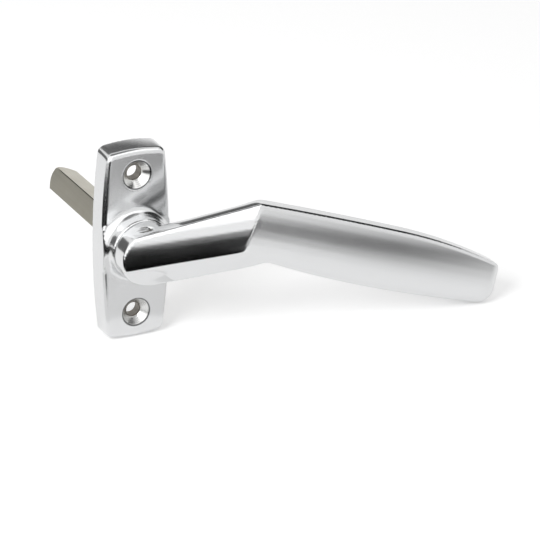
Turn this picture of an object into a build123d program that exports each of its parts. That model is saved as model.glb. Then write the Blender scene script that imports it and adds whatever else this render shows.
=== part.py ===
"""Window handle with a cranked lever, a split square spindle and a two-screw back plate.

Frame: millimetres, +Z up, -Y out into the room, +Y into the window. The origin is on the
spindle axis in the plane of the back plate's rear face. The lever is modelled 70 degrees
short of hanging straight down, the position in which it rests on a table beside the plate.
"""

import os
from math import cos, radians, sin, tan

from build123d import *

# Back plate: outline with four bowed sides, drafted towards the room
PLATE_HALF_HEIGHT = 29.75
PLATE_END_RISE = 0.95
PLATE_HALF_WIDTH_END = 8.9
PLATE_HALF_WIDTH_MID = 10.65
PLATE_CORNER_RADIUS = 2.2
PLATE_DEPTH = 7.7
PLATE_DRAFT_DEG = 4.5
PLATE_EDGE_RADIUS = 1.3
PLATE_WALL = 1.6
PLATE_FRONT_WALL = 2.7

# Fixing holes
SCREW_SPACING = 43.0
SCREW_HOLE_DIAMETER = 4.3
COUNTERSINK_DIAMETER = 8.7
COUNTERSINK_ANGLE_DEG = 90.0
SCREW_POST_DIAMETER = 9.0

# Collar round the lever's neck
COLLAR_HEIGHT = 4.5
COLLAR_RADIUS_TOP = 9.3
COLLAR_RADIUS_FOOT = 9.6
COLLAR_FOOT_FILLET = 2.2
COLLAR_RIM_BEVEL = 0.3
PARTING_GAP = 0.25

# Journal and its sleeve bearing
JOURNAL_RADIUS = 7.0
RUNNING_CLEARANCE = 0.05
SLEEVE_WALL = 0.95
SEAT_CLEARANCE = 0.02
SLEEVE_FLANGE_RADIUS = 8.4
SLEEVE_FLANGE = 0.8

# Cam, washer and retaining clip on the journal's tail
CAM_RADIUS = 8.3
CAM_THICKNESS = 1.8
CAM_POCKET_RADIUS = 9.0
TAIL_RADIUS = 6.5
TAIL_FLAT = 5.7
TAIL_RECESS = 0.4
END_FLOAT = 0.05
WASHER_THICKNESS = 0.5
WASHER_RADIUS = 8.2
CLIP_THICKNESS = 0.9
CLIP_RADIUS = 7.7
CLIP_GROOVE_RADIUS = 6.1
CLIP_MOUTH_DEG = 64.0
CLIP_LUG_RADIUS = 1.0
CLIP_LUG_HOLE = 0.45

# Detents: a sprung ball above and below the cam, and a notch in the cam every quarter turn
NOTCHES = 4
NOTCH_RADIUS = 1.7
NOTCH_DEPTH = 0.5
BALL_RADIUS = 1.5
TUNNEL_CLEARANCE = 0.12
TUNNEL_END = 16.2
GUIDE_HALF_WIDTH = 3.6
GUIDE_END_WALL = 1.0
SPRING_WIRE = 0.4
SPRING_TURNS = 5.5

# Square spindle, cut in two along a diagonal and pinned in the lever
SPINDLE_SQUARE = 7.0
SPINDLE_SPLIT = 0.3
SPINDLE_REACH = 48.0
SPINDLE_NOSE = 1.5
SOCKET_CLEARANCE = 0.05
SOCKET_DEPTH = 14.5
PIN_DIAMETER = 2.0
PIN_DEPTH = 8.6
PIN_END_GAP = 0.4

# Lever neck, in the lever's own plane: u along the grip, w across it, o out from the plate
GRIP_ANGLE_DEG = -20.0
NECK_RADIUS = 9.25
NECK_BEVEL = 0.45

# Arm: a block between two tangents of the neck, cut by three facets on its front
ARM_TOP_ANGLE_DEG = 35.8
ARM_BOTTOM_ANGLE_DEG = 32.0
ARM_CREASE = 20.4
ARM_CREASE_HEIGHT = 23.8
ARM_FACET_SLOPE_DEG = 23.7
ARM_FACET_CROWN_RADIUS = 60.0
ARM_FACET_WIDTH = 11.0
ARM_EDGE_ANGLE_DEG = 29.6
ARM_EDGE_OFFSET = -0.35
ARM_BEVEL_LEAN_DEG = 60.0
ARM_TOP_BEVEL = 0.65
ARM_TOP_BEVEL_LEAN_DEG = 32.0
ARM_BACK_BEND = 22.5
ARM_BACK_BEND_RADIUS = 20.0

# Grip: straight, bowed on both edges, crowned on its front and rounded on its back
GRIP_TOP_START = 25.4
GRIP_TOP_QUARTER = (46.0, 26.0)
GRIP_TOP_MIDDLE = (72.0, 26.1)
GRIP_TOP_END = (111.2, 21.8)
GRIP_BOTTOM_START = 8.0
GRIP_BOTTOM_QUARTER = (52.0, 6.6)
GRIP_BOTTOM_MIDDLE = (75.0, 6.4)
GRIP_BOTTOM_END = (113.6, 8.5)
GRIP_TIP_LOWER_CORNER = 5.2
GRIP_TIP_UPPER_CORNER = 3.6
GRIP_TIP_CORNER_DEPTH = 0.32
GRIP_BEND_RADIUS = 5.5
GRIP_FRONT = 24.1
GRIP_BACK = 14.6
GRIP_CROWN_RADIUS = 60.0
GRIP_CROWN_PLACE = 17.5
GRIP_FRONT_ROLL = 4.4
GRIP_TOP_FILLET = 0.8
GRIP_BACK_FILLET = 4.4

# Places along the spindle axis, as depths in front of the plate's rear face
collar_rim = PLATE_DEPTH + COLLAR_HEIGHT
neck_foot = collar_rim + PARTING_GAP
pocket_floor = PLATE_DEPTH - PLATE_FRONT_WALL
cam_front = pocket_floor - SLEEVE_FLANGE - END_FLOAT
cam_rear = cam_front - CAM_THICKNESS
cam_middle = (cam_front + cam_rear) / 2
washer_front = cam_rear - END_FLOAT
washer_rear = washer_front - WASHER_THICKNESS
clip_front = washer_rear - END_FLOAT
clip_rear = clip_front - CLIP_THICKNESS
socket_floor = TAIL_RECESS + SOCKET_DEPTH

# Radii that follow from the fits
sleeve_inner = JOURNAL_RADIUS + RUNNING_CLEARANCE
sleeve_outer = sleeve_inner + SLEEVE_WALL
collar_bore = sleeve_outer + SEAT_CLEARANCE
tunnel_radius = BALL_RADIUS + TUNNEL_CLEARANCE
ball_place = CAM_RADIUS + BALL_RADIUS + SEAT_CLEARANCE


def across_axis(depth, turn=0.0):
    """Plane square to the spindle axis, facing the room, at a depth in front of the rear face."""
    x_dir = (cos(radians(turn)), 0, sin(radians(turn)))
    return Plane(origin=(0, -depth, 0), x_dir=x_dir, z_dir=(0, -1, 0))


def lever_plane(rise=0.0):
    """Plane of the lever's own u and w axes, at a height out from the plate's front face."""
    return across_axis(PLATE_DEPTH + rise, GRIP_ANGLE_DEG)


def plate_profile(inset=0.0):
    """Face of the plate's outline, with arched ends and bowed sides, less an even inset."""
    end = PLATE_HALF_HEIGHT - PLATE_END_RISE
    corner = PLATE_HALF_WIDTH_END
    with BuildSketch(Plane.XY) as profile:
        with BuildLine():
            ThreePointArc((-corner, end), (0, PLATE_HALF_HEIGHT), (corner, end))
            ThreePointArc((corner, end), (PLATE_HALF_WIDTH_MID, 0), (corner, -end))
            ThreePointArc((corner, -end), (0, -PLATE_HALF_HEIGHT), (-corner, -end))
            ThreePointArc((-corner, -end), (-PLATE_HALF_WIDTH_MID, 0), (-corner, end))
        make_face()
        if inset:
            offset(amount=-inset)
    return profile.sketch


def make_plate_shell():
    """Drafted block of the plate with rounded corners and a rounded front edge."""
    with BuildPart() as shell:
        with BuildSketch(across_axis(0)):
            add(plate_profile())
        extrude(amount=PLATE_DEPTH, taper=PLATE_DRAFT_DEG)
        corners = shell.edges().filter_by(lambda edge: abs(edge.tangent_at(0.5).Y) > 0.9)
        fillet(corners, radius=PLATE_CORNER_RADIUS)
        fillet(shell.faces().sort_by(Axis.Y)[0].edges(), radius=PLATE_EDGE_RADIUS)
    return shell.part


def make_collar():
    """Collar turned round the spindle axis, with a hollow foot that stops at the plate's sides."""
    root = COLLAR_RADIUS_FOOT + COLLAR_FOOT_FILLET
    face = -PLATE_DEPTH
    sunk = face + PLATE_FRONT_WALL / 2
    neck = face - COLLAR_FOOT_FILLET
    with BuildPart() as collar:
        with BuildSketch(Plane.XY):
            with BuildLine():
                Polyline((0, -collar_rim), (0, sunk), (root, sunk), (root, face))
                RadiusArc((root, face), (COLLAR_RADIUS_FOOT, neck), -COLLAR_FOOT_FILLET)
                Polyline((COLLAR_RADIUS_FOOT, neck),
                         (COLLAR_RADIUS_TOP, -collar_rim + COLLAR_RIM_BEVEL),
                         (COLLAR_RADIUS_TOP - COLLAR_RIM_BEVEL, -collar_rim),
                         (0, -collar_rim))
            make_face()
        revolve(axis=Axis.Y)
        with BuildSketch(across_axis(0)):
            add(plate_profile(PLATE_DEPTH * tan(radians(PLATE_DRAFT_DEG))))
        extrude(amount=collar_rim, mode=Mode.INTERSECT)
    return collar.part


def make_plate_cavity():
    """Hollow of the plate's rear, leaving two screw posts and two blocks for the ball tunnels."""
    guide_length = TUNNEL_END + GUIDE_END_WALL
    with BuildPart() as cavity:
        with BuildSketch(across_axis(0)):
            add(plate_profile(PLATE_WALL))
            with GridLocations(0, SCREW_SPACING, 1, 2):
                Circle(SCREW_POST_DIAMETER / 2, mode=Mode.SUBTRACT)
            Rectangle(2 * GUIDE_HALF_WIDTH, 2 * guide_length, mode=Mode.SUBTRACT)
            Circle(CAM_POCKET_RADIUS)
        extrude(amount=pocket_floor)
    return cavity.part


def make_back_plate():
    """Die-cast plate with its collar, bored for the sleeve, the balls and the two screws."""
    with BuildPart() as back_plate:
        add(make_plate_shell())
        add(make_collar())
        add(make_plate_cavity(), mode=Mode.SUBTRACT)
        with BuildSketch(across_axis(0)):
            Circle(collar_bore)
        extrude(amount=collar_rim, mode=Mode.SUBTRACT)
        with BuildSketch(Plane(origin=(0, -cam_middle, 0), z_dir=(0, 0, 1))):
            Circle(tunnel_radius)
        extrude(amount=TUNNEL_END, both=True, mode=Mode.SUBTRACT)
        with Locations(across_axis(PLATE_DEPTH)):
            with GridLocations(0, SCREW_SPACING, 1, 2):
                CounterSinkHole(SCREW_HOLE_DIAMETER / 2, COUNTERSINK_DIAMETER / 2,
                                counter_sink_angle=COUNTERSINK_ANGLE_DEG)
    return back_plate.part


def make_bearing_sleeve():
    """Moulded sleeve that lines the collar, with a flange that the cam runs against."""
    with BuildPart() as sleeve:
        with BuildSketch(across_axis(pocket_floor - SLEEVE_FLANGE)):
            Circle(SLEEVE_FLANGE_RADIUS)
        extrude(amount=SLEEVE_FLANGE)
        with BuildSketch(across_axis(pocket_floor)):
            Circle(sleeve_outer)
        extrude(amount=collar_rim - pocket_floor)
        with BuildSketch(across_axis(0)):
            Circle(sleeve_inner)
        extrude(amount=collar_rim, mode=Mode.SUBTRACT)
    return sleeve.part


def tail_profile(clearance=0.0):
    """Round of the journal's tail with two flats that carry the cam round."""
    with BuildSketch(Plane.XY) as profile:
        Circle(TAIL_RADIUS + clearance)
        Rectangle(2 * (TAIL_FLAT + clearance), 3 * TAIL_RADIUS, mode=Mode.INTERSECT)
    return profile.sketch


def make_click_cam():
    """Disc with a round notch every quarter turn, keyed to the tail's flats."""
    with BuildPart() as cam:
        with BuildSketch(across_axis(cam_rear, GRIP_ANGLE_DEG)):
            Circle(CAM_RADIUS)
            with PolarLocations(CAM_RADIUS + NOTCH_RADIUS - NOTCH_DEPTH, NOTCHES):
                Circle(NOTCH_RADIUS, mode=Mode.SUBTRACT)
            add(tail_profile(SEAT_CLEARANCE), mode=Mode.SUBTRACT)
        extrude(amount=CAM_THICKNESS)
    return cam.part


def make_thrust_washer():
    """Plain washer between the cam and the retaining clip."""
    with BuildPart() as washer:
        with BuildSketch(across_axis(washer_rear)):
            Circle(WASHER_RADIUS)
            Circle(TAIL_RADIUS + RUNNING_CLEARANCE, mode=Mode.SUBTRACT)
        extrude(amount=WASHER_THICKNESS)
    return washer.part


def make_retaining_clip():
    """Open spring clip in the tail's groove, with a drilled lug at each end."""
    lug_turn = CLIP_MOUTH_DEG / 2
    lug_place = CLIP_GROOVE_RADIUS + SEAT_CLEARANCE + CLIP_LUG_RADIUS
    reach = 2 * CLIP_RADIUS
    with BuildPart() as clip:
        with BuildSketch(across_axis(clip_rear, GRIP_ANGLE_DEG)):
            Circle(CLIP_RADIUS)
            half_width = reach * tan(radians(lug_turn))
            with BuildLine():
                Polyline((0, 0), (-half_width, -reach), (half_width, -reach), close=True)
            make_face(mode=Mode.SUBTRACT)
            with PolarLocations(lug_place, 2, -90 - lug_turn, 2 * lug_turn, endpoint=True):
                Circle(CLIP_LUG_RADIUS)
            Circle(CLIP_GROOVE_RADIUS + SEAT_CLEARANCE, mode=Mode.SUBTRACT)
            with PolarLocations(lug_place, 2, -90 - lug_turn, 2 * lug_turn, endpoint=True):
                Circle(CLIP_LUG_HOLE, mode=Mode.SUBTRACT)
        extrude(amount=CLIP_THICKNESS)
    return clip.part


def make_detent_ball(side):
    """Steel ball resting on the cam's rim, above the axis (side 1) or below it (side -1)."""
    with BuildPart() as ball:
        with Locations((0, -cam_middle, side * ball_place)):
            Sphere(BALL_RADIUS)
    return ball.part


def make_detent_spring(side):
    """Coil spring between a ball and the blind end of its tunnel."""
    coil_radius = tunnel_radius - TUNNEL_CLEARANCE - SPRING_WIRE / 2
    start = ball_place + BALL_RADIUS + SPRING_WIRE / 2
    height = TUNNEL_END - SPRING_WIRE / 2 - SEAT_CLEARANCE - start
    with BuildPart() as spring:
        with BuildLine():
            coil = Helix(pitch=height / SPRING_TURNS, height=height, radius=coil_radius,
                         center=(0, -cam_middle, side * start), direction=(0, 0, side))
        with BuildSketch(Plane(origin=coil @ 0, z_dir=coil % 0)):
            Circle(SPRING_WIRE / 2)
        sweep(is_frenet=True)
    return spring.part


def pin_plane():
    """Plane through the middle of the cross pin, square to it: the pin crosses the spindle's cut."""
    turn = radians(GRIP_ANGLE_DEG + 45)
    return Plane(origin=(0, -PIN_DEPTH, 0), z_dir=(cos(turn), 0, sin(turn)))


def make_spindle_half(side):
    """Half of the square bar, on one side of a cut through two opposite corners."""
    half = SPINDLE_SQUARE / 2
    seated = socket_floor - SEAT_CLEARANCE
    cut = SPINDLE_SPLIT / 2 ** 0.5
    with BuildPart() as bar:
        with BuildSketch(across_axis(-SPINDLE_REACH, GRIP_ANGLE_DEG)):
            with BuildLine():
                Polyline((side * half, side * half), (side * (cut - half), side * half),
                         (side * half, side * (cut - half)), close=True)
            make_face()
        extrude(amount=SPINDLE_REACH + seated)
        with BuildSketch(Plane.XY):
            with BuildLine():
                Polyline((0, -seated), (2 * half, -seated), (2 * half, SPINDLE_REACH - SPINDLE_NOSE),
                         (half + SPINDLE_NOSE, SPINDLE_REACH - SPINDLE_NOSE), (half, SPINDLE_REACH),
                         (0, SPINDLE_REACH), close=True)
            make_face()
        revolve(axis=Axis.Y, mode=Mode.INTERSECT)
        with BuildSketch(pin_plane()):
            Circle(PIN_DIAMETER / 2 + SEAT_CLEARANCE)
        extrude(amount=JOURNAL_RADIUS, both=True, mode=Mode.SUBTRACT)
    return bar.part


def make_spindle_pin():
    """Cross pin that holds both halves of the spindle in the lever's journal."""
    with BuildPart() as pin:
        with BuildSketch(pin_plane()):
            Circle(PIN_DIAMETER / 2)
        extrude(amount=JOURNAL_RADIUS - PIN_END_GAP, both=True)
    return pin.part


def lever_cut(point, normal):
    """Cutting plane given by a point and an outward normal in the lever's u, w, o directions."""
    base = lever_plane()
    return Plane(origin=base.from_local_coords(point),
                 z_dir=base.from_local_coords(normal) - base.origin)


def facet_height(along):
    """Height of the arm's main facet at a place along u."""
    return ARM_CREASE_HEIGHT - (ARM_CREASE - along) * tan(radians(ARM_FACET_SLOPE_DEG))


def side_facet(angle, offset, lean, side):
    """Cutting plane that falls away from a straight edge on the main facet."""
    run, rise = cos(radians(angle)), sin(radians(angle))
    out, down = sin(radians(lean)), cos(radians(lean))
    edge = Vector(run, rise, run * tan(radians(ARM_FACET_SLOPE_DEG)))
    fall = Vector(-side * rise * out, side * run * out, -down)
    point = (-rise * offset, run * offset, facet_height(-rise * offset))
    return lever_cut(point, edge.cross(fall) * side)


def make_facet_crown():
    """Everything under the arm's main facet, a shallow crown that runs parallel to its lower edge."""
    slope = radians(ARM_FACET_SLOPE_DEG)
    turn = radians(ARM_EDGE_ANGLE_DEG)
    span = 5 * NECK_RADIUS
    base = lever_plane()
    normal = Vector(-sin(slope), 0, cos(slope))
    along = Vector(cos(turn), sin(turn), cos(turn) * tan(slope))
    edge = (-sin(turn) * ARM_EDGE_OFFSET, cos(turn) * ARM_EDGE_OFFSET,
            facet_height(-sin(turn) * ARM_EDGE_OFFSET))
    across = Plane(origin=base.from_local_coords(edge),
                   x_dir=base.from_local_coords(normal.cross(along)) - base.origin,
                   z_dir=base.from_local_coords(along) - base.origin)
    middle = ARM_FACET_WIDTH / 2
    crown = ARM_FACET_CROWN_RADIUS
    top = crown - (crown ** 2 - middle ** 2) ** 0.5
    fall = crown - (crown ** 2 - span ** 2) ** 0.5
    with BuildPart() as under:
        with BuildSketch(across):
            with BuildLine():
                ThreePointArc((middle - span, top - fall), (middle, top), (middle + span, top - fall))
                Polyline((middle + span, top - fall), (middle + span, -2 * span),
                         (middle - span, -2 * span), (middle - span, top - fall))
            make_face()
        extrude(amount=3 * span, both=True)
    return under.part


def lever_plan():
    """Front outline of the arm and grip: two tangents of the neck and a bowed bar."""
    top, bottom = radians(ARM_TOP_ANGLE_DEG), radians(ARM_BOTTOM_ANGLE_DEG)
    top_bend = (GRIP_TOP_START - NECK_RADIUS / cos(top)) / tan(top)
    bottom_bend = (GRIP_BOTTOM_START + NECK_RADIUS / cos(bottom)) / tan(bottom)
    with BuildSketch(Plane.XY) as plan:
        with BuildLine():
            Line((-NECK_RADIUS * sin(top), NECK_RADIUS * cos(top)), (top_bend, GRIP_TOP_START))
            upper = ThreePointArc((top_bend, GRIP_TOP_START), GRIP_TOP_QUARTER, GRIP_TOP_MIDDLE)
            TangentArc(GRIP_TOP_MIDDLE, GRIP_TOP_END, tangent=upper % 1)
            Line(GRIP_TOP_END, GRIP_BOTTOM_END)
            lower = ThreePointArc((bottom_bend, GRIP_BOTTOM_START), GRIP_BOTTOM_QUARTER,
                                  GRIP_BOTTOM_MIDDLE)
            TangentArc(GRIP_BOTTOM_MIDDLE, GRIP_BOTTOM_END, tangent=lower % 1)
            Line((bottom_bend, GRIP_BOTTOM_START),
                 (NECK_RADIUS * sin(bottom), -NECK_RADIUS * cos(bottom)))
            Line((NECK_RADIUS * sin(bottom), -NECK_RADIUS * cos(bottom)), (0, 0))
            Line((0, 0), (-NECK_RADIUS * sin(top), NECK_RADIUS * cos(top)))
        make_face()
        fillet(plan.vertices().sort_by_distance(GRIP_BOTTOM_END)[0], radius=GRIP_TIP_LOWER_CORNER)
        bends = plan.vertices().filter_by(
            lambda v: abs(v.X - top_bend) < 0.01 or abs(v.X - bottom_bend) < 0.01)
        fillet(bends, radius=GRIP_BEND_RADIUS)
    return plan.sketch


def outer_edges(faces):
    """Edges round a patch of faces, without those that two of its faces share."""
    edges = [edge for face in faces for edge in face.edges()]
    return [edge for edge in edges
            if sum((edge.center() - other.center()).length < 0.001 for other in edges) == 1]


def make_lever_blank():
    """Arm and grip: the front outline, the side view and the crowned section, intersected."""
    foot = neck_foot - PLATE_DEPTH + NECK_BEVEL
    reach = GRIP_BOTTOM_END[0] + 1
    base = lever_plane()

    def place(shape):
        return base.to_local_coords(shape.center())

    with BuildPart() as blank:
        with BuildSketch(lever_plane(foot)):
            add(lever_plan())
        extrude(amount=GRIP_FRONT - foot)

        # Side view in u and o: the arm's underside climbs to the grip's flat back
        with BuildSketch(Plane(origin=base.origin, x_dir=base.x_dir, z_dir=-base.y_dir)):
            start = ARM_BACK_BEND - (GRIP_BACK - foot) / tan(radians(ARM_FACET_SLOPE_DEG))
            with BuildLine():
                Polyline((-2 * NECK_RADIUS, foot), (start, foot), (ARM_BACK_BEND, GRIP_BACK),
                         (reach, GRIP_BACK), (reach, GRIP_FRONT), (-2 * NECK_RADIUS, GRIP_FRONT),
                         close=True)
            make_face()
        extrude(amount=reach, both=True, mode=Mode.INTERSECT)

        # Section in w and o: a shallow crown
        with BuildSketch(Plane(origin=base.origin, x_dir=base.y_dir, z_dir=base.x_dir)):
            span = GRIP_CROWN_PLACE + 2 * NECK_RADIUS
            edge = GRIP_FRONT - GRIP_CROWN_RADIUS + (GRIP_CROWN_RADIUS ** 2 - span ** 2) ** 0.5
            left, right = GRIP_CROWN_PLACE - span, GRIP_CROWN_PLACE + span
            with BuildLine():
                ThreePointArc((left, edge), (GRIP_CROWN_PLACE, GRIP_FRONT), (right, edge))
                Polyline((right, edge), (right, 0), (left, 0), (left, edge))
            make_face()
        extrude(amount=reach, both=True, mode=Mode.INTERSECT)
        bend = [edge for edge in blank.edges()
                if abs(place(edge).X - ARM_BACK_BEND) < 0.01 and abs(place(edge).Z - GRIP_BACK) < 0.01]
        fillet(bend, radius=ARM_BACK_BEND_RADIUS)

        # Front rims: a large roll below and round the tip, a small round along the top
        front = [face for face in blank.faces() if face.normal_at().Y < -0.9]
        rims = [edge for edge in outer_edges(front) if place(edge).X > NECK_RADIUS]
        middle = (GRIP_TOP_START + GRIP_BOTTOM_START) / 2
        tip = min(GRIP_TOP_END[0], GRIP_BOTTOM_END[0]) - GRIP_TIP_LOWER_CORNER
        fillet([edge for edge in rims if place(edge).Y < middle or place(edge).X > tip],
               radius=GRIP_FRONT_ROLL)
        front = [face for face in blank.faces() if face.normal_at().Y < -0.9]
        fillet([edge for edge in outer_edges(front) if place(edge).Y > middle and place(edge).X < tip],
               radius=GRIP_TOP_FILLET)

        # Rounded back, from the arm's underside to the tip
        rear = [face for face in blank.faces()
                if face.normal_at().Y > 0.5 and place(face).Z > foot + 1]
        fillet([edge for edge in outer_edges(rear)
                if place(edge).X > NECK_RADIUS or abs(place(edge).Y) > NECK_RADIUS],
               radius=GRIP_BACK_FILLET)

        # Upper corner of the tip
        corner, lower = Vector(GRIP_TOP_END), Vector(GRIP_BOTTOM_END)
        rise = 2 * (Vector(GRIP_TOP_MIDDLE) - corner).normalized() - Vector(-1, 0)
        size = GRIP_TIP_UPPER_CORNER
        back = corner + rise * size
        down = corner + (lower - corner).normalized() * size
        bulge = corner + (back + down - 2 * corner) * GRIP_TIP_CORNER_DEPTH
        with BuildSketch(lever_plane(foot)):
            with BuildLine():
                ThreePointArc(back, bulge, down)
                Polyline(down, down + (size, 0), corner + (size, size), back + (0, size), back)
            make_face()
        extrude(amount=GRIP_FRONT, mode=Mode.SUBTRACT)
    return blank.part


def make_lever():
    """Cast lever: round neck, faceted arm and grip, with its journal and tail behind the neck."""
    foot = neck_foot - PLATE_DEPTH
    with BuildPart() as lever:
        with BuildSketch(lever_plane(foot)):
            Circle(NECK_RADIUS)
        extrude(amount=facet_height(NECK_RADIUS) - foot + 1)
        chamfer(lever.edges().sort_by(Axis.Y)[-1], length=NECK_BEVEL)
        add(make_lever_blank())
        add(make_facet_crown(), mode=Mode.INTERSECT)
        split(bisect_by=side_facet(ARM_EDGE_ANGLE_DEG, ARM_EDGE_OFFSET, ARM_BEVEL_LEAN_DEG, -1),
              keep=Keep.BOTTOM)
        split(bisect_by=side_facet(ARM_TOP_ANGLE_DEG, NECK_RADIUS - ARM_TOP_BEVEL,
                                   ARM_TOP_BEVEL_LEAN_DEG, 1), keep=Keep.BOTTOM)

        # Journal and tail
        with BuildSketch(across_axis(cam_front)):
            Circle(JOURNAL_RADIUS)
        extrude(amount=neck_foot - cam_front)
        with BuildSketch(across_axis(TAIL_RECESS, GRIP_ANGLE_DEG)):
            add(tail_profile())
        extrude(amount=cam_front - TAIL_RECESS)
        with BuildSketch(across_axis(clip_rear - SEAT_CLEARANCE)):
            Circle(JOURNAL_RADIUS)
            Circle(CLIP_GROOVE_RADIUS, mode=Mode.SUBTRACT)
        extrude(amount=CLIP_THICKNESS + 2 * SEAT_CLEARANCE, mode=Mode.SUBTRACT)

        # Square socket and the hole for the cross pin
        with BuildSketch(across_axis(TAIL_RECESS, GRIP_ANGLE_DEG)):
            side = SPINDLE_SQUARE + 2 * SOCKET_CLEARANCE
            Rectangle(side, side)
        extrude(amount=SOCKET_DEPTH, mode=Mode.SUBTRACT)
        with BuildSketch(pin_plane()):
            Circle(PIN_DIAMETER / 2 + SEAT_CLEARANCE)
        extrude(amount=JOURNAL_RADIUS + RUNNING_CLEARANCE, both=True, mode=Mode.SUBTRACT)
    return lever.part


pieces = {
    "back_plate": make_back_plate(),
    "bearing_sleeve": make_bearing_sleeve(),
    "detent_ball_upper": make_detent_ball(1),
    "detent_ball_lower": make_detent_ball(-1),
    "detent_spring_upper": make_detent_spring(1),
    "detent_spring_lower": make_detent_spring(-1),
    "lever": make_lever(),
    "click_cam": make_click_cam(),
    "thrust_washer": make_thrust_washer(),
    "retaining_clip": make_retaining_clip(),
    "spindle_half_upper": make_spindle_half(1),
    "spindle_half_lower": make_spindle_half(-1),
    "spindle_pin": make_spindle_pin(),
}

os.makedirs("parts", exist_ok=True)
for name, piece in pieces.items():
    piece.label = name
    export_step(piece, f"parts/{name}.step")
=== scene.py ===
"""Window handle on a white table: satin chrome lever and back plate, split square spindle."""

import bpy
import numpy as np
from mathutils import Euler, Matrix, Vector


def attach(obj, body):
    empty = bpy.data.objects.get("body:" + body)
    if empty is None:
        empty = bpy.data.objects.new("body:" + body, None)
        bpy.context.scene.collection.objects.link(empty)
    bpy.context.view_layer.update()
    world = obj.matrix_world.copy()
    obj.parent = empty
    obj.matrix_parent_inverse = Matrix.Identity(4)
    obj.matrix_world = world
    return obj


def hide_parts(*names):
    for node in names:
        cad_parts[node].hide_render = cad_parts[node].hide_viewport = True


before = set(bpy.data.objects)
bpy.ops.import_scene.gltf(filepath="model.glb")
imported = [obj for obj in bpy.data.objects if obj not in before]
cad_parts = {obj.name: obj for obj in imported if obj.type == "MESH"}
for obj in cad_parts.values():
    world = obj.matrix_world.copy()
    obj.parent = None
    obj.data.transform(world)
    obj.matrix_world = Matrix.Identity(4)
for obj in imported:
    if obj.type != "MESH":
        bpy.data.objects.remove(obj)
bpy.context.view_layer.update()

# Back plate. A hollow zinc die-casting with a collar round the lever's neck, blasted, plated and
# left satin. The two screw holes are countersunk after plating, so their cones show turned metal.
# A dark line of painted shade runs round each countersink's rim, and the drilled bores are painted
# darker as shade. The cored rear keeps its dull skin. Two screws hold it on the sash.
PLATE_VOXEL = 0.0003
PLATE_HALF_WIDTH = 0.01065
PLATE_BOW = 0.00175
PLATE_HALF_HEIGHT = 0.02975
PLATE_FACE = 0.0077
PLATE_POCKET = 0.0051
PLATE_SIDE_WALL = 0.0009
PLATE_END_WALL = 0.0012
PLATE_DRAFT = np.radians(4.5)
SIDE_ZONE = (0.0062, 0.0086)
END_HALF_WIDTH = PLATE_HALF_WIDTH - PLATE_BOW
END_RISE = 0.00095
END_ZONE = (0.026, 0.0284)
COLLAR_FOOT = 0.0022
BOSS_RADIUS = 0.0047
BOSS_END = 0.0022
SCREW_PLACE = 0.0215
CONE_RADIUS = 0.00438
DRILL_RADIUS = 0.00225
CONE_RING_PITCH = 0.00042
RIM_RADIUS = 0.0043
RIM_WIDTH = 0.0002
SANDED_DEPTH = 0.00012
SKIN_TILT = Euler((0.6, 0.45, 0.35))
PLATE_SMOOTHING = 4
CHROME_COLOUR = (0.74, 0.745, 0.75, 1)
CUT_ZINC_COLOUR = (0.72, 0.72, 0.71, 1)
CAST_SKIN_COLOUR = (0.42, 0.42, 0.42, 1)
# Painted shade: the drilled bores are coloured darker than the turned cones, for the shade inside the
# holes.
DRILL_BORE_PAINTED_SHADE_COLOUR = (0.36, 0.34, 0.31, 1)
# Painted shade: the dark line round each countersink's rim.
PAINTED_RIM_SHADE_COLOUR = (0.05, 0.052, 0.055, 1)
PLATE_ROUGHNESS = 0.18
SATIN_SPREAD = 0.05
CONE_ROUGHER = 0.06
CAST_ROUGHER = (0.22, 0.42)
SANDED_ROUGHER = (0.02, 0.14)
PLATE_RELIEF = 0.000009
CONE_RELIEF_SHARE = 0.5
CAST_RELIEF_SHARE = 4.0
SANDED_RELIEF_SHARE = 0.4


class Socket:
    """A shader value that can be added, multiplied and compared like a number."""

    def __init__(self, finish, out):
        self.finish = finish
        self.out = out

    def math(self, operation, *others):
        """The result of a Math node on this value and others."""
        return self.finish.add("ShaderNodeMath", {"operation": operation}, self, *others)

    def rings(self, pitch):
        """The marks of a turning tool: a sine from -1 to 1 of the value, its pitch in metres."""
        return (self * (2 * np.pi / pitch)).math("SINE")

    def __add__(self, other):
        return self.math("ADD", other)

    def __radd__(self, other):
        return self.math("ADD", other)

    def __sub__(self, other):
        return self.math("SUBTRACT", other)

    def __rsub__(self, other):
        return self.finish.add("ShaderNodeMath", {"operation": "SUBTRACT"}, other, self)

    def __mul__(self, other):
        return self.math("MULTIPLY", other)

    def __rmul__(self, other):
        return self.math("MULTIPLY", other)

    def __abs__(self):
        return self.math("ABSOLUTE")

    def __lt__(self, other):
        return self.math("LESS_THAN", other)

    def __gt__(self, other):
        return self.math("GREATER_THAN", other)


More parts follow.
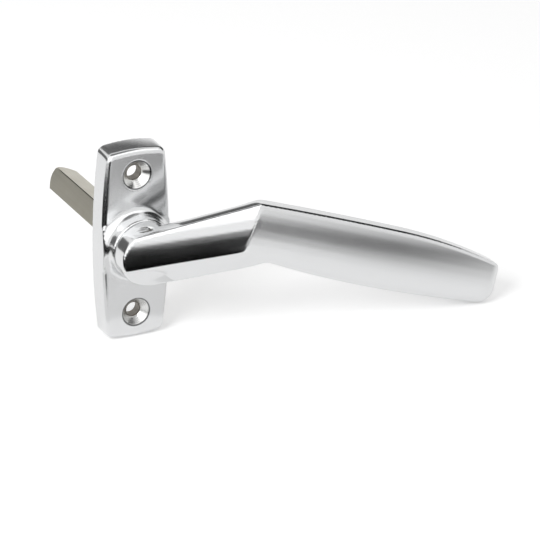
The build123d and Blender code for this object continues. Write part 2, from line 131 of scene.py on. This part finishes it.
class Finish:
    """A material and its node tree, filled one node at a time."""

    def __init__(self, name):
        self.material = bpy.data.materials.new(name)
        self.material.use_nodes = True
        self.tree = self.material.node_tree
        self.shader = self.tree.nodes["Principled BSDF"]

    def add(self, kind, settings, *values, out=0, **named):
        """Adds a node: its settings first, then what goes into its sockets by place or by name."""
        node = self.tree.nodes.new(kind)
        for key, value in settings.items():
            setattr(node, key, value)
        for place, value in enumerate(values):
            self.feed(node.inputs[place], value)
        for key, value in named.items():
            self.feed(node.inputs[key.replace("_", " ")], value)
        return Socket(self, node.outputs[out])

    def feed(self, socket, value):
        """Links a shader value to a socket, or sets the socket to a plain number or colour."""
        if isinstance(value, Socket):
            self.tree.links.new(value.out, socket)
        else:
            socket.default_value = value

    def surface(self, **named):
        """Feeds the sockets of the Principled shader, named with underscores for spaces."""
        for key, value in named.items():
            self.feed(self.shader.inputs[key.replace("_", " ")], value)

    def place(self):
        """The point on the object, in metres."""
        return self.add("ShaderNodeTexCoord", {}, out="Object")

    def axes(self, point):
        """The x, y and z of a point."""
        split = self.add("ShaderNodeSeparateXYZ", {}, point)
        return [Socket(self, out) for out in split.out.node.outputs]

    def length(self, x, y, z):
        """How far a point lies from the origin."""
        arrow = self.add("ShaderNodeCombineXYZ", {}, x, y, z)
        return self.add("ShaderNodeVectorMath", {"operation": "LENGTH"}, arrow, out="Value")

    def stretched(self, point, scale, detail=2.0, roughness=0.5):
        """Noise from 0 to 1 whose cells have their own size along x, y and z."""
        spread = self.add("ShaderNodeVectorMath", {"operation": "MULTIPLY"}, point, scale)
        return self.add("ShaderNodeTexNoise", {}, spread, Scale=1.0, Detail=detail, Roughness=roughness)

    def grain(self, point, scale, detail=2.0, roughness=0.5):
        """Even noise from 0 to 1, with a number of cells to the metre."""
        return self.add("ShaderNodeTexNoise", {}, point, Scale=scale, Detail=detail, Roughness=roughness)

    def blend(self, mask, under, over):
        """Colour that goes from one to the other as the mask goes from 0 to 1.

        The Mix node's colours are its inputs 6 and 7 and its output 2.
        """
        mixed = self.add("ShaderNodeMix", {"data_type": "RGBA"}, mask, out=2)
        self.feed(mixed.out.node.inputs[6], under)
        self.feed(mixed.out.node.inputs[7], over)
        return mixed

    def bumps(self, height, depth, normal=None):
        """Bump from a height and the metres that one unit of it stands for."""
        more = {} if normal is None else {"Normal": normal}
        return self.add("ShaderNodeBump", {}, Strength=1.0, Distance=depth, Height=height, **more)


def merged_copy(name, node):
    """A copy of a CAD node whose loose triangles share their corner points."""
    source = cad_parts[node].data
    corners = np.empty(3 * len(source.vertices))
    source.vertices.foreach_get("co", corners)
    points, place = np.unique(np.round(corners.reshape(-1, 3), 8), axis=0, return_inverse=True)
    loops = np.empty(len(source.loops), dtype=int)
    source.loops.foreach_get("vertex_index", loops)
    mesh = bpy.data.meshes.new(name)
    mesh.from_pydata(points, [], place.reshape(-1)[loops].reshape(-1, 3).tolist())
    mesh.validate()
    mesh.shade_smooth()
    piece = bpy.data.objects.new(name, mesh)
    bpy.context.scene.collection.objects.link(piece)
    return piece


def settle(piece):
    """Puts what the modifiers make into the piece's own mesh."""
    whole = bpy.data.meshes.new_from_object(piece.evaluated_get(bpy.context.evaluated_depsgraph_get()))
    piece.modifiers.clear()
    piece.data = whole
    whole.shade_smooth()


def cast_skin(piece, voxel):
    """Gives a merged copy one even skin of small faces, so that its edges are as soft as a casting's.

    The mesh is turned while it is cut into cells, since flat sides that run along the cells come
    out in steps.
    """
    tilt = SKIN_TILT.to_matrix().to_4x4()
    piece.data.transform(tilt)
    skin = piece.modifiers.new("even_skin", "REMESH")
    skin.mode = "VOXEL"
    skin.voxel_size = voxel
    settle(piece)
    piece.data.transform(tilt.inverted())


def reshape(piece, rule):
    """Moves every corner point of the piece to where the rule puts it."""
    corners = np.empty(3 * len(piece.data.vertices))
    piece.data.vertices.foreach_get("co", corners)
    piece.data.vertices.foreach_set("co", rule(corners.reshape(-1, 3)).ravel())


def soften(piece, rounds):
    """Evens the skin out, which rounds each edge by about the size of a face."""
    smooth = piece.modifiers.new("soft_edges", "SMOOTH")
    smooth.factor = 0.5
    smooth.iterations = rounds
    settle(piece)


def dress(piece, node, body, finish):
    """Puts the piece in its node's place with its material, on its body."""
    piece.data.materials.append(finish.material)
    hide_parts(node)
    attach(piece, body)


def between(limits, share):
    """The value that lies between two limits at a share of the way from the first."""
    return limits[0] + (limits[1] - limits[0]) * share


def satin(finish, point, level):
    """Roughness about a level, and the bump of a fine even grain over a faintly uneven casting."""
    cloud = finish.grain(point, scale=60.0, detail=3.0)
    fine = finish.grain(point, scale=2600.0, detail=3.0, roughness=0.6)
    rough = between((level - SATIN_SPREAD / 2, level + SATIN_SPREAD / 2), cloud)
    wave = finish.bumps(finish.grain(point, scale=90.0, detail=1.0), depth=0.000012)
    return rough, finish.bumps(fine, depth=0.0000006, normal=wave)


def fade_in(value, start, end):
    """0 up to the start, 1 from the end on, and 3 s^2 - 2 s^3 at a share s of the way between."""
    share = np.clip((value - start) / (end - start), 0, 1)
    return share * share * (3 - 2 * share)


def plate_form(points):
    """The plate with its long sides square to its rear, crowned ends and screw bosses below its rim.

    The long sides' draft comes off their outer millimetres, and fades out up the collar's foot. The
    ends start square at the rear and bend over to twice the draft at the front.
    """
    x, y, z = points.T
    depth = np.clip(-y, 0, PLATE_FACE)
    draft = depth * np.tan(PLATE_DRAFT)
    bow = PLATE_BOW * (z / PLATE_HALF_HEIGHT) ** 2
    foot = np.clip(1 - (-y - PLATE_FACE) / COLLAR_FOOT, 0, 1)
    spread = draft * foot * fade_in(np.abs(x) + bow, *SIDE_ZONE)
    arch = END_RISE * (x / END_HALF_WIDTH) ** 2
    crown = draft * (1 - depth / PLATE_FACE) * fade_in(np.abs(z) + arch, *END_ZONE)
    boss = np.hypot(x, np.abs(z) - SCREW_PLACE) < BOSS_RADIUS
    return np.column_stack([x + np.sign(x) * spread, np.where(boss, np.minimum(y, -BOSS_END), y),
                            z + np.sign(z) * crown])


chrome = Finish("plate_satin_chrome")
point = chrome.place()
x, y, z = chrome.axes(point)
rough, skin_bump = satin(chrome, point, PLATE_ROUGHNESS)
radius = chrome.length(x, 0.0, abs(z) - SCREW_PLACE)
in_cone = radius < CONE_RADIUS
in_drill = radius < DRILL_RADIUS
bowed = abs(x) + z * z * (PLATE_BOW / PLATE_HALF_HEIGHT ** 2)
within = (bowed < PLATE_HALF_WIDTH - PLATE_SIDE_WALL) * (abs(z) < PLATE_HALF_HEIGHT - PLATE_END_WALL)
hollow = within * (y > -PLATE_POCKET)
sanded = y > -SANDED_DEPTH
cast = chrome.grain(point, scale=700.0, detail=4.0, roughness=0.65)
scratch = chrome.stretched(point, scale=(6000.0, 1.0, 220.0))
# A thin dark ring painted into the colour at each countersink's rim: painted shade where the edge turns
# into the hole.
from_rim = (radius - RIM_RADIUS) * (1 / RIM_WIDTH)
rim_shade = (from_rim * from_rim * -1.0).math("EXPONENT")
colour = chrome.blend(in_cone, CHROME_COLOUR, CUT_ZINC_COLOUR)
colour = chrome.blend(hollow, colour, CAST_SKIN_COLOUR)
# The drilled bores are painted darker, as shade inside the holes.
colour = chrome.blend(in_drill, colour, DRILL_BORE_PAINTED_SHADE_COLOUR)
rough = rough + in_cone * CONE_ROUGHER + hollow * between(CAST_ROUGHER, cast)
rough = rough + sanded * between(SANDED_ROUGHER, scratch)
cone_relief = radius.rings(CONE_RING_PITCH) * CONE_RELIEF_SHARE
cast_relief = cast * CAST_RELIEF_SHARE
height = in_cone * cone_relief + hollow * cast_relief + sanded * scratch * SANDED_RELIEF_SHARE
chrome.surface(Base_Color=chrome.blend(rim_shade, colour, PAINTED_RIM_SHADE_COLOUR), Metallic=1.0, Roughness=rough,
               Normal=chrome.bumps(height, PLATE_RELIEF, skin_bump))

plate = merged_copy("back_plate_look", "back_plate")
cast_skin(plate, PLATE_VOXEL)
reshape(plate, plate_form)
soften(plate, PLATE_SMOOTHING)
dress(plate, "back_plate", "plate", chrome)

# Bearing sleeve. A moulded acetal lining with a flange, pressed into the collar's bore, in which
# the lever's journal turns. Only its rim shows, as a fine pale line between collar and neck.
SLEEVE_COLOUR = (0.8, 0.79, 0.75, 1)
SLEEVE_MOTTLE = (0.74, 0.73, 0.69, 1)
SLEEVE_ROUGHNESS = (0.38, 0.54)
MOULDED_REFLECTION = 0.4
SHARP_TURNED_DEG = 24


def turned_copy(name, node, sharp_deg=SHARP_TURNED_DEG):
    """A merged copy of a machined node: smooth rounds, flat flats, and edges over an angle sharp."""
    piece = merged_copy(name, node)
    piece.data.set_sharp_from_angle(angle=np.radians(sharp_deg))
    weight = piece.modifiers.new("flat_faces_stay_flat", "WEIGHTED_NORMAL")
    weight.keep_sharp = True
    weight.weight = 100
    return piece


acetal = Finish("acetal")
point = acetal.place()
mottle = acetal.grain(point, scale=420.0, detail=3.0)
acetal.surface(Base_Color=acetal.blend(mottle, SLEEVE_COLOUR, SLEEVE_MOTTLE),
               Roughness=between(SLEEVE_ROUGHNESS, mottle), Specular_IOR_Level=MOULDED_REFLECTION,
               Normal=acetal.bumps(acetal.grain(point, scale=1500.0), depth=0.000004))
dress(turned_copy("bearing_sleeve_look", "bearing_sleeve"), "bearing_sleeve", "plate", acetal)

# Lever. One zinc casting: round neck, faceted arm and cranked grip, satin plated like the plate, a
# little glossier on the arm. The journal, tail and socket behind the neck are turned and broached
# bare. The arm is rounded off towards its back, so that its upper side falls away from the front.
LEVER_VOXEL = 0.00034
GRIP_TURN = np.radians(20)
ARM_TURN = np.radians(35.8)
ARM_SLOPE = np.radians(23.7)
NECK_RADIUS = 0.00925
ARM_CREASE = 0.0204
ARM_CREASE_HEIGHT = 0.0238
ARM_TOP_EDGE = 0.0086
ARM_WALL = 0.0018
ARM_BACK_ROUND = 0.006
EDGE_TURN = np.radians(29.6)
EDGE_PLACE = -0.00035
EDGE_SHIFT = 0.0006
EDGE_FADE = 0.005
ARM_BACK_FADE = (0.017, 0.027)
NECK_BLEND = 0.0025
SQUEEZE_LEAST = 0.00004
SQUEEZE = 0.25
SQUEEZE_FADE = (0.008, 0.013)
JOURNAL_START = 0.01245
JOURNAL_RING_PITCH = 0.00018
LEVER_SMOOTHING = 3
ARM_ROUGHNESS = 0.13
GRIP_ROUGHNESS = 0.2
BARE_ROUGHER = 0.1
JOURNAL_RELIEF = 0.000003
CREASE_BLEND = 0.002


def arm_form(points):
    """The arm with a straight upper side, rounded behind it, and a lower front edge.

    u runs along the grip, w across it and out into the room. s runs along the arm and t across it.
    With d the depth below the upper side's wall, t stays under its edge less R - sqrt(R^2 - d^2),
    but behind the wall never inside the round neck. It nears that limit more gently with depth, as
    -g log(exp(-t / g) + exp(-limit / g)), so that few faces fold. The lower edge and the bevel
    below it slide down the front facet. Both fade out where the grip starts.
    """
    out = -points[:, 1] - PLATE_FACE
    u = points[:, 0] * np.cos(GRIP_TURN) - points[:, 2] * np.sin(GRIP_TURN)
    w = points[:, 0] * np.sin(GRIP_TURN) + points[:, 2] * np.cos(GRIP_TURN)
    facet = ARM_CREASE_HEIGHT - (ARM_CREASE - np.minimum(u, ARM_CREASE)) * np.tan(ARM_SLOPE)
    above = w * np.cos(EDGE_TURN) - u * np.sin(EDGE_TURN) - EDGE_PLACE
    at_start = 1 - fade_in(u, *ARM_BACK_FADE)
    near_edge = (1 - fade_in(above, 0, EDGE_FADE)) * (1 - fade_in(facet - out, 0, EDGE_FADE))
    slide = EDGE_SHIFT * at_start * near_edge
    u = u + slide * np.sin(EDGE_TURN)
    w = w - slide * np.cos(EDGE_TURN)
    out = out + slide * np.sin(EDGE_TURN) * np.tan(ARM_SLOPE) * (u < ARM_CREASE)
    s = u * np.cos(ARM_TURN) + w * np.sin(ARM_TURN)
    t = -u * np.sin(ARM_TURN) + w * np.cos(ARM_TURN)
    depth = np.clip((facet - ARM_WALL - out) * np.cos(ARM_SLOPE), 0, ARM_BACK_ROUND)
    edge = ARM_TOP_EDGE - ARM_BACK_ROUND + np.sqrt(ARM_BACK_ROUND ** 2 - depth ** 2)
    neck = np.sqrt(np.clip(NECK_RADIUS ** 2 - s ** 2, 0, None))
    limit = edge + np.clip(neck - edge, 0, None) * fade_in(depth, 0, NECK_BLEND)
    give = SQUEEZE_LEAST + SQUEEZE * depth * fade_in(s, *SQUEEZE_FADE)
    squeezed = -give * np.logaddexp(-t / give, -limit / give)
    pull = at_start * (t - squeezed) * (points[:, 1] < -JOURNAL_START)
    u = u + pull * np.sin(ARM_TURN)
    w = w - pull * np.cos(ARM_TURN)
    return np.column_stack([u * np.cos(GRIP_TURN) + w * np.sin(GRIP_TURN), -out - PLATE_FACE,
                            -u * np.sin(GRIP_TURN) + w * np.cos(GRIP_TURN)])


chrome = Finish("lever_satin_chrome")
point = chrome.place()
x, y, z = chrome.axes(point)
along_grip = (x * np.cos(GRIP_TURN) - z * np.sin(GRIP_TURN) - ARM_CREASE) * (1 / CREASE_BLEND)
on_grip = along_grip.math("MAXIMUM", 0.0).math("MINIMUM", 1.0)
rough, skin_bump = satin(chrome, point, ARM_ROUGHNESS)
bare = y > -JOURNAL_START
chrome.surface(Base_Color=chrome.blend(bare, CHROME_COLOUR, CUT_ZINC_COLOUR), Metallic=1.0,
               Roughness=rough + on_grip * (GRIP_ROUGHNESS - ARM_ROUGHNESS) + bare * BARE_ROUGHER,
               Normal=chrome.bumps(bare * y.rings(JOURNAL_RING_PITCH), JOURNAL_RELIEF, skin_bump))

lever = merged_copy("lever_look", "lever")
cast_skin(lever, LEVER_VOXEL)
reshape(lever, arm_form)
cast_skin(lever, LEVER_VOXEL)
soften(lever, LEVER_SMOOTHING)
dress(lever, "lever", "handle", chrome)

# Click cam. A notched disc of moulded nylon on the two flats of the lever's tail. The balls ride on
# its rim and drop into a notch at each quarter turn. The mould leaves it smooth and faintly mottled.
CAM_COLOUR = (0.72, 0.71, 0.66, 1)
CAM_MOTTLE = (0.64, 0.63, 0.58, 1)
CAM_ROUGHNESS = (0.4, 0.55)

nylon = Finish("cam_nylon")
point = nylon.place()
mottle = nylon.grain(point, scale=360.0, detail=3.0)
nylon.surface(Base_Color=nylon.blend(mottle, CAM_COLOUR, CAM_MOTTLE),
              Roughness=between(CAM_ROUGHNESS, mottle), Specular_IOR_Level=MOULDED_REFLECTION,
              Normal=nylon.bumps(nylon.grain(point, scale=1200.0), depth=0.000005))
dress(turned_copy("click_cam_look", "click_cam"), "click_cam", "handle", nylon)

# Detent balls. Two hardened steel bearing balls, bought in, polished, with a film of grease.
# Each sits in a blind tunnel of the plate, pressed on the cam by its spring.
BALL_COLOUR = (0.6, 0.6, 0.61, 1)
BALL_ROUGHNESS = (0.06, 0.22)
SHARP_ROUND_DEG = 40

polished = Finish("ball_steel")
film = polished.grain(polished.place(), scale=900.0, detail=3.0)
polished.surface(Base_Color=BALL_COLOUR, Metallic=1.0, Roughness=between(BALL_ROUGHNESS, film))
for name in ("detent_ball_upper", "detent_ball_lower"):
    dress(turned_copy(name + "_look", name, SHARP_ROUND_DEG), name, "plate", polished)

# Detent springs. Compression springs coiled from 0.4 mm hard-drawn wire, whose surface keeps the
# faint lines of the drawing die. They fill the tunnels behind the balls.
WIRE_COLOUR = (0.46, 0.46, 0.47, 1)
WIRE_ROUGHNESS = (0.25, 0.45)

drawn = Finish("spring_wire")
line = drawn.stretched(drawn.place(), scale=(900.0, 900.0, 5000.0))
drawn.surface(Base_Color=WIRE_COLOUR, Metallic=1.0, Roughness=between(WIRE_ROUGHNESS, line),
              Normal=drawn.bumps(line, depth=0.000004))
for name in ("detent_spring_upper", "detent_spring_lower"):
    dress(turned_copy(name + "_look", name, SHARP_ROUND_DEG), name, "plate", drawn)

# Thrust washer. Punched from thin steel strip and zinc plated, it lies between cam and clip.
# Punching leaves a rolled edge, and turning on the cam leaves faint rings on its face.
WASHER_COLOUR = (0.6, 0.61, 0.62, 1)
WASHER_ROUGHNESS = (0.3, 0.42)
WASHER_RING_PITCH = 0.0003

punched = Finish("washer_steel")
point = punched.place()
x, y, z = punched.axes(point)
rings = punched.length(x, 0.0, z).rings(WASHER_RING_PITCH)
punched.surface(Base_Color=WASHER_COLOUR, Metallic=1.0,
                Roughness=between(WASHER_ROUGHNESS, punched.grain(point, scale=800.0)),
                Normal=punched.bumps(rings, depth=0.000002))
washer = turned_copy("thrust_washer_look", "thrust_washer")
dress(washer, "thrust_washer", "handle", punched)

# Retaining clip. An open ring stamped from spring steel, blued and oiled, with a drilled lug at each
# end for the pliers. It snaps into the tail's groove and holds the lever in the plate.
CLIP_COLOUR = (0.2, 0.2, 0.22, 1)
CLIP_RUBBED = (0.42, 0.42, 0.43, 1)
CLIP_ROUGHNESS = (0.26, 0.46)

blued = Finish("clip_steel")
rubbed = blued.grain(blued.place(), scale=650.0, detail=4.0, roughness=0.65)
blued.surface(Base_Color=blued.blend(rubbed, CLIP_COLOUR, CLIP_RUBBED), Metallic=1.0,
              Roughness=between(CLIP_ROUGHNESS, rubbed), Normal=blued.bumps(rubbed, depth=0.000003))
clip = turned_copy("retaining_clip_look", "retaining_clip")
dress(clip, "retaining_clip", "handle", blued)

# Spindle halves. A square steel bar cut along a diagonal into two prisms, zinc plated, with a turned
# nose. Drawing leaves streaks along the bar, and the plating has a faint straw tint.
BAR_COLOUR = (0.66, 0.64, 0.56, 1)
BAR_STREAK = (0.46, 0.43, 0.35, 1)
BAR_ROUGHNESS = (0.27, 0.43)
STREAK_SHARE = 0.6

plated = Finish("spindle_zinc")
point = plated.place()
streak = plated.stretched(point, scale=(1500.0, 26.0, 1500.0), detail=4.0, roughness=0.6)
cloud = plated.grain(point, scale=180.0, detail=3.0)
tint = streak * STREAK_SHARE + cloud * (1 - STREAK_SHARE)
plated.surface(Base_Color=plated.blend(tint, BAR_COLOUR, BAR_STREAK), Metallic=1.0,
               Roughness=between(BAR_ROUGHNESS, cloud), Normal=plated.bumps(streak, depth=0.000006))
for name in ("spindle_half_upper", "spindle_half_lower"):
    dress(turned_copy(name + "_look", name), name, "handle", plated)

# Spindle pin. A hardened dowel across the lever's journal, pressed in last, that keeps both halves of
# the spindle from sliding out. Ground bright along its length.
PIN_COLOUR = (0.62, 0.62, 0.63, 1)
PIN_ROUGHNESS = (0.18, 0.3)

ground = Finish("pin_steel")
line = ground.grain(ground.place(), scale=2400.0)
ground.surface(Base_Color=PIN_COLOUR, Metallic=1.0, Roughness=between(PIN_ROUGHNESS, line),
               Normal=ground.bumps(line, depth=0.000001))
dress(turned_copy("spindle_pin_look", "spindle_pin"), "spindle_pin", "handle", ground)

# Table and studio. A matt white table top in a white tent, with a lamp at the upper left.
# Black, grey and bright cards lie and stand about the handle where only the metal sees them: the
# bands that they leave in the chrome give the plate, the arm and the grip their shape.
TABLE_HEIGHT = -PLATE_HALF_HEIGHT
TABLE_SIZE = 6
TABLE_COLOUR = (0.86, 0.86, 0.86, 1)
TABLE_LIFT = 0.28
TABLE_MIRRORED = 0.17
TENT_LIGHT = 0.66
TENT_MIRRORED = 0.98
LAMP_PLACE = (-0.61, -0.42, 0.52)
LAMP_WATTS = 5.0
LAMP_SIZE = 0.35
CARD_STEPS = 24

bpy.ops.mesh.primitive_plane_add(size=TABLE_SIZE, location=(0, 0, TABLE_HEIGHT))
table = bpy.context.object
table.name = "table"
matt = Finish("table_white")
seen = matt.add("ShaderNodeLightPath", {}, out="Is Camera Ray")
mirrored = Socket(matt, seen.out.node.outputs["Is Glossy Ray"])
matt.surface(Base_Color=TABLE_COLOUR, Roughness=0.9, Specular_IOR_Level=0.1, Emission_Color=(1, 1, 1, 1),
             Emission_Strength=seen * TABLE_LIFT + mirrored * TABLE_MIRRORED)
table.data.materials.append(matt.material)


def ramp(paint, value, start, end, low, high):
    """A value that goes smoothly from low to high while another goes from start to end."""
    settings = {"interpolation_type": "SMOOTHSTEP"}
    return paint.add("ShaderNodeMapRange", settings, value, start, end, low, high)


def card(name, corners, faces, paint, shade, fade):
    """A card of the studio, seen in reflections only: its brightness, and how much of it covers."""
    paint.surface(Base_Color=(0, 0, 0, 1), Roughness=1.0, Specular_IOR_Level=0.0, Alpha=fade,
                  Emission_Color=(shade, shade, shade, 1), Emission_Strength=1.0)
    mesh = bpy.data.meshes.new(name)
    mesh.from_pydata(np.asarray(corners).tolist(), [], np.asarray(faces).tolist())
    mesh.materials.append(paint.material)
    board = bpy.data.objects.new(name, mesh)
    bpy.context.scene.collection.objects.link(board)
    for ray in ("camera", "diffuse", "transmission", "shadow", "volume_scatter"):
        setattr(board, "visible_" + ray, False)


def level_card(name, middle, reach, lift, core, turn_deg=0.0, shade=0.0, cover=1.0):
    """An oval card at a height over the table, whose cover fades from its core to its rim.

    The cover depends on sqrt(u^2 + v^2), with u and v the place along and across the card as
    shares of its reach.
    """
    turn = np.radians(turn_deg)
    along = np.array([np.cos(turn), np.sin(turn)])
    across = np.array([-np.sin(turn), np.cos(turn)])
    paint = Finish(name + "_paint")
    x, y, z = paint.axes(paint.place())
    u = ((x - middle[0]) * along[0] + (y - middle[1]) * along[1]) * (1 / reach[0])
    v = ((x - middle[0]) * across[0] + (y - middle[1]) * across[1]) * (1 / reach[1])
    distance = (u * u + v * v).math("SQRT")
    signs = np.array([(-1, -1), (1, -1), (1, 1), (-1, 1)])
    flat = np.array(middle) + signs[:, :1] * along * reach[0] + signs[:, 1:] * across * reach[1]
    corners = np.column_stack([flat, np.full(4, TABLE_HEIGHT + lift)])
    card(name, corners, [(0, 1, 2, 3)], paint, shade, ramp(paint, distance, core, 1.0, cover, 0.0))


def standing_card(name, radius, start_deg, end_deg, low, high, shade, rise=0.001, cover=1.0):
    """An upright card bent round the handle, by angle from the -Y direction towards +X.

    Its cover grows from its lower edge up, over the height given as its rise.
    """
    turn = np.radians(np.linspace(start_deg, end_deg, CARD_STEPS + 1))
    line = np.column_stack([radius * np.sin(turn), -radius * np.cos(turn)])
    edges = [np.column_stack([line, np.full(CARD_STEPS + 1, level)]) for level in (low, high)]
    below = np.arange(CARD_STEPS)
    above = below + CARD_STEPS + 1
    paint = Finish(name + "_paint")
    x, y, z = paint.axes(paint.place())
    card(name, np.vstack(edges), np.column_stack([below, below + 1, above + 1, above]), paint, shade,
         ramp(paint, z, low, low + rise, 0.0, cover))


level_card("black_card_near", (-0.0355, -0.109), (0.078, 0.075), lift=0.0002, core=0.6, turn_deg=72)
level_card("black_card_far", (-0.0757, -0.233), (0.1, 0.11), lift=0.0004, core=0.85, turn_deg=72)
level_card("black_card_left", (-0.15, -0.02), (0.1, 0.15), lift=0.0006, core=0.85)
level_card("grey_card_right", (0.108, -0.111), (0.096, 0.058), lift=0.0008, core=0.15, turn_deg=52,
           shade=0.05, cover=0.94)
level_card("grey_card_middle", (0.055, -0.135), (0.06, 0.05), lift=0.001, core=0.3,
           shade=0.05, cover=0.6)
level_card("black_card_tip", (-0.017, -0.05), (0.022, 0.016), lift=0.0014, core=0.3, turn_deg=72,
           cover=0.9)
level_card("grey_card_above", (0.0, 0.0), (0.3, 0.3), lift=0.53, core=0.5, shade=0.2)
standing_card("grey_card_foot", 0.021, -75, 75, low=-0.0297, high=-0.009, shade=0.05, cover=0.2)
standing_card("grey_card_left", 0.36, -162, -106, low=-0.0297, high=0.125, shade=0.14)
standing_card("black_card_side", 0.36, 58, 135, low=0.1, high=0.45, shade=0.02)
standing_card("grey_card_back", 0.36, 135, 205, low=0.1, high=0.42, shade=0.12, rise=0.16)
standing_card("light_card_front", 0.7, -75, 0, low=0.0, high=0.9, shade=1.6)
standing_card("light_card_high", 0.5, -60, 60, low=0.35, high=0.9, shade=1.5)

bpy.context.scene.world = bpy.data.worlds.new("tent")
bpy.context.scene.world.use_nodes = True
tent = bpy.context.scene.world.node_tree
rays = tent.nodes.new("ShaderNodeLightPath")
level = tent.nodes.new("ShaderNodeMapRange")
level.inputs["To Min"].default_value = TENT_LIGHT
level.inputs["To Max"].default_value = TENT_MIRRORED
tent.links.new(rays.outputs["Is Glossy Ray"], level.inputs["Value"])
background = tent.nodes["Background"]
background.inputs["Color"].default_value = (1, 1, 1, 1)
tent.links.new(level.outputs["Result"], background.inputs["Strength"])

lamp = bpy.data.lights.new("lamp", "AREA")
lamp.size = LAMP_SIZE
lamp.energy = LAMP_WATTS
stand = bpy.data.objects.new("lamp", lamp)
stand.location = LAMP_PLACE
stand.rotation_euler = (-Vector(LAMP_PLACE)).to_track_quat("-Z", "Y").to_euler()
bpy.context.scene.collection.objects.link(stand)

# Camera. A long lens about 0.66 m away, to the left of the handle and above it. Its place and turn
# come from the plate's outline, the two holes, the collar and the spindle in the photograph.
CAMERA_PLACE = (-0.254596, -0.56072, 0.265633)
CAMERA_AZIMUTH = np.radians(28.36)
CAMERA_ELEVATION = np.radians(24.14)
CAMERA_ROLL = np.radians(1.915)
CAMERA_LENS = 153.40
CAMERA_SENSOR = 36

eye = bpy.data.objects.new("camera", bpy.data.cameras.new("camera"))
bpy.context.scene.collection.objects.link(eye)
eye.data.lens = CAMERA_LENS
eye.data.sensor_width = CAMERA_SENSOR
eye.location = CAMERA_PLACE
eye.rotation_euler = (Matrix.Rotation(-CAMERA_AZIMUTH, 3, "Z")
                      @ Matrix.Rotation(np.pi / 2 - CAMERA_ELEVATION, 3, "X")
                      @ Matrix.Rotation(CAMERA_ROLL, 3, "Z")).to_euler()
bpy.context.scene.camera = eye
bpy.context.scene.view_settings.view_transform = "Standard"
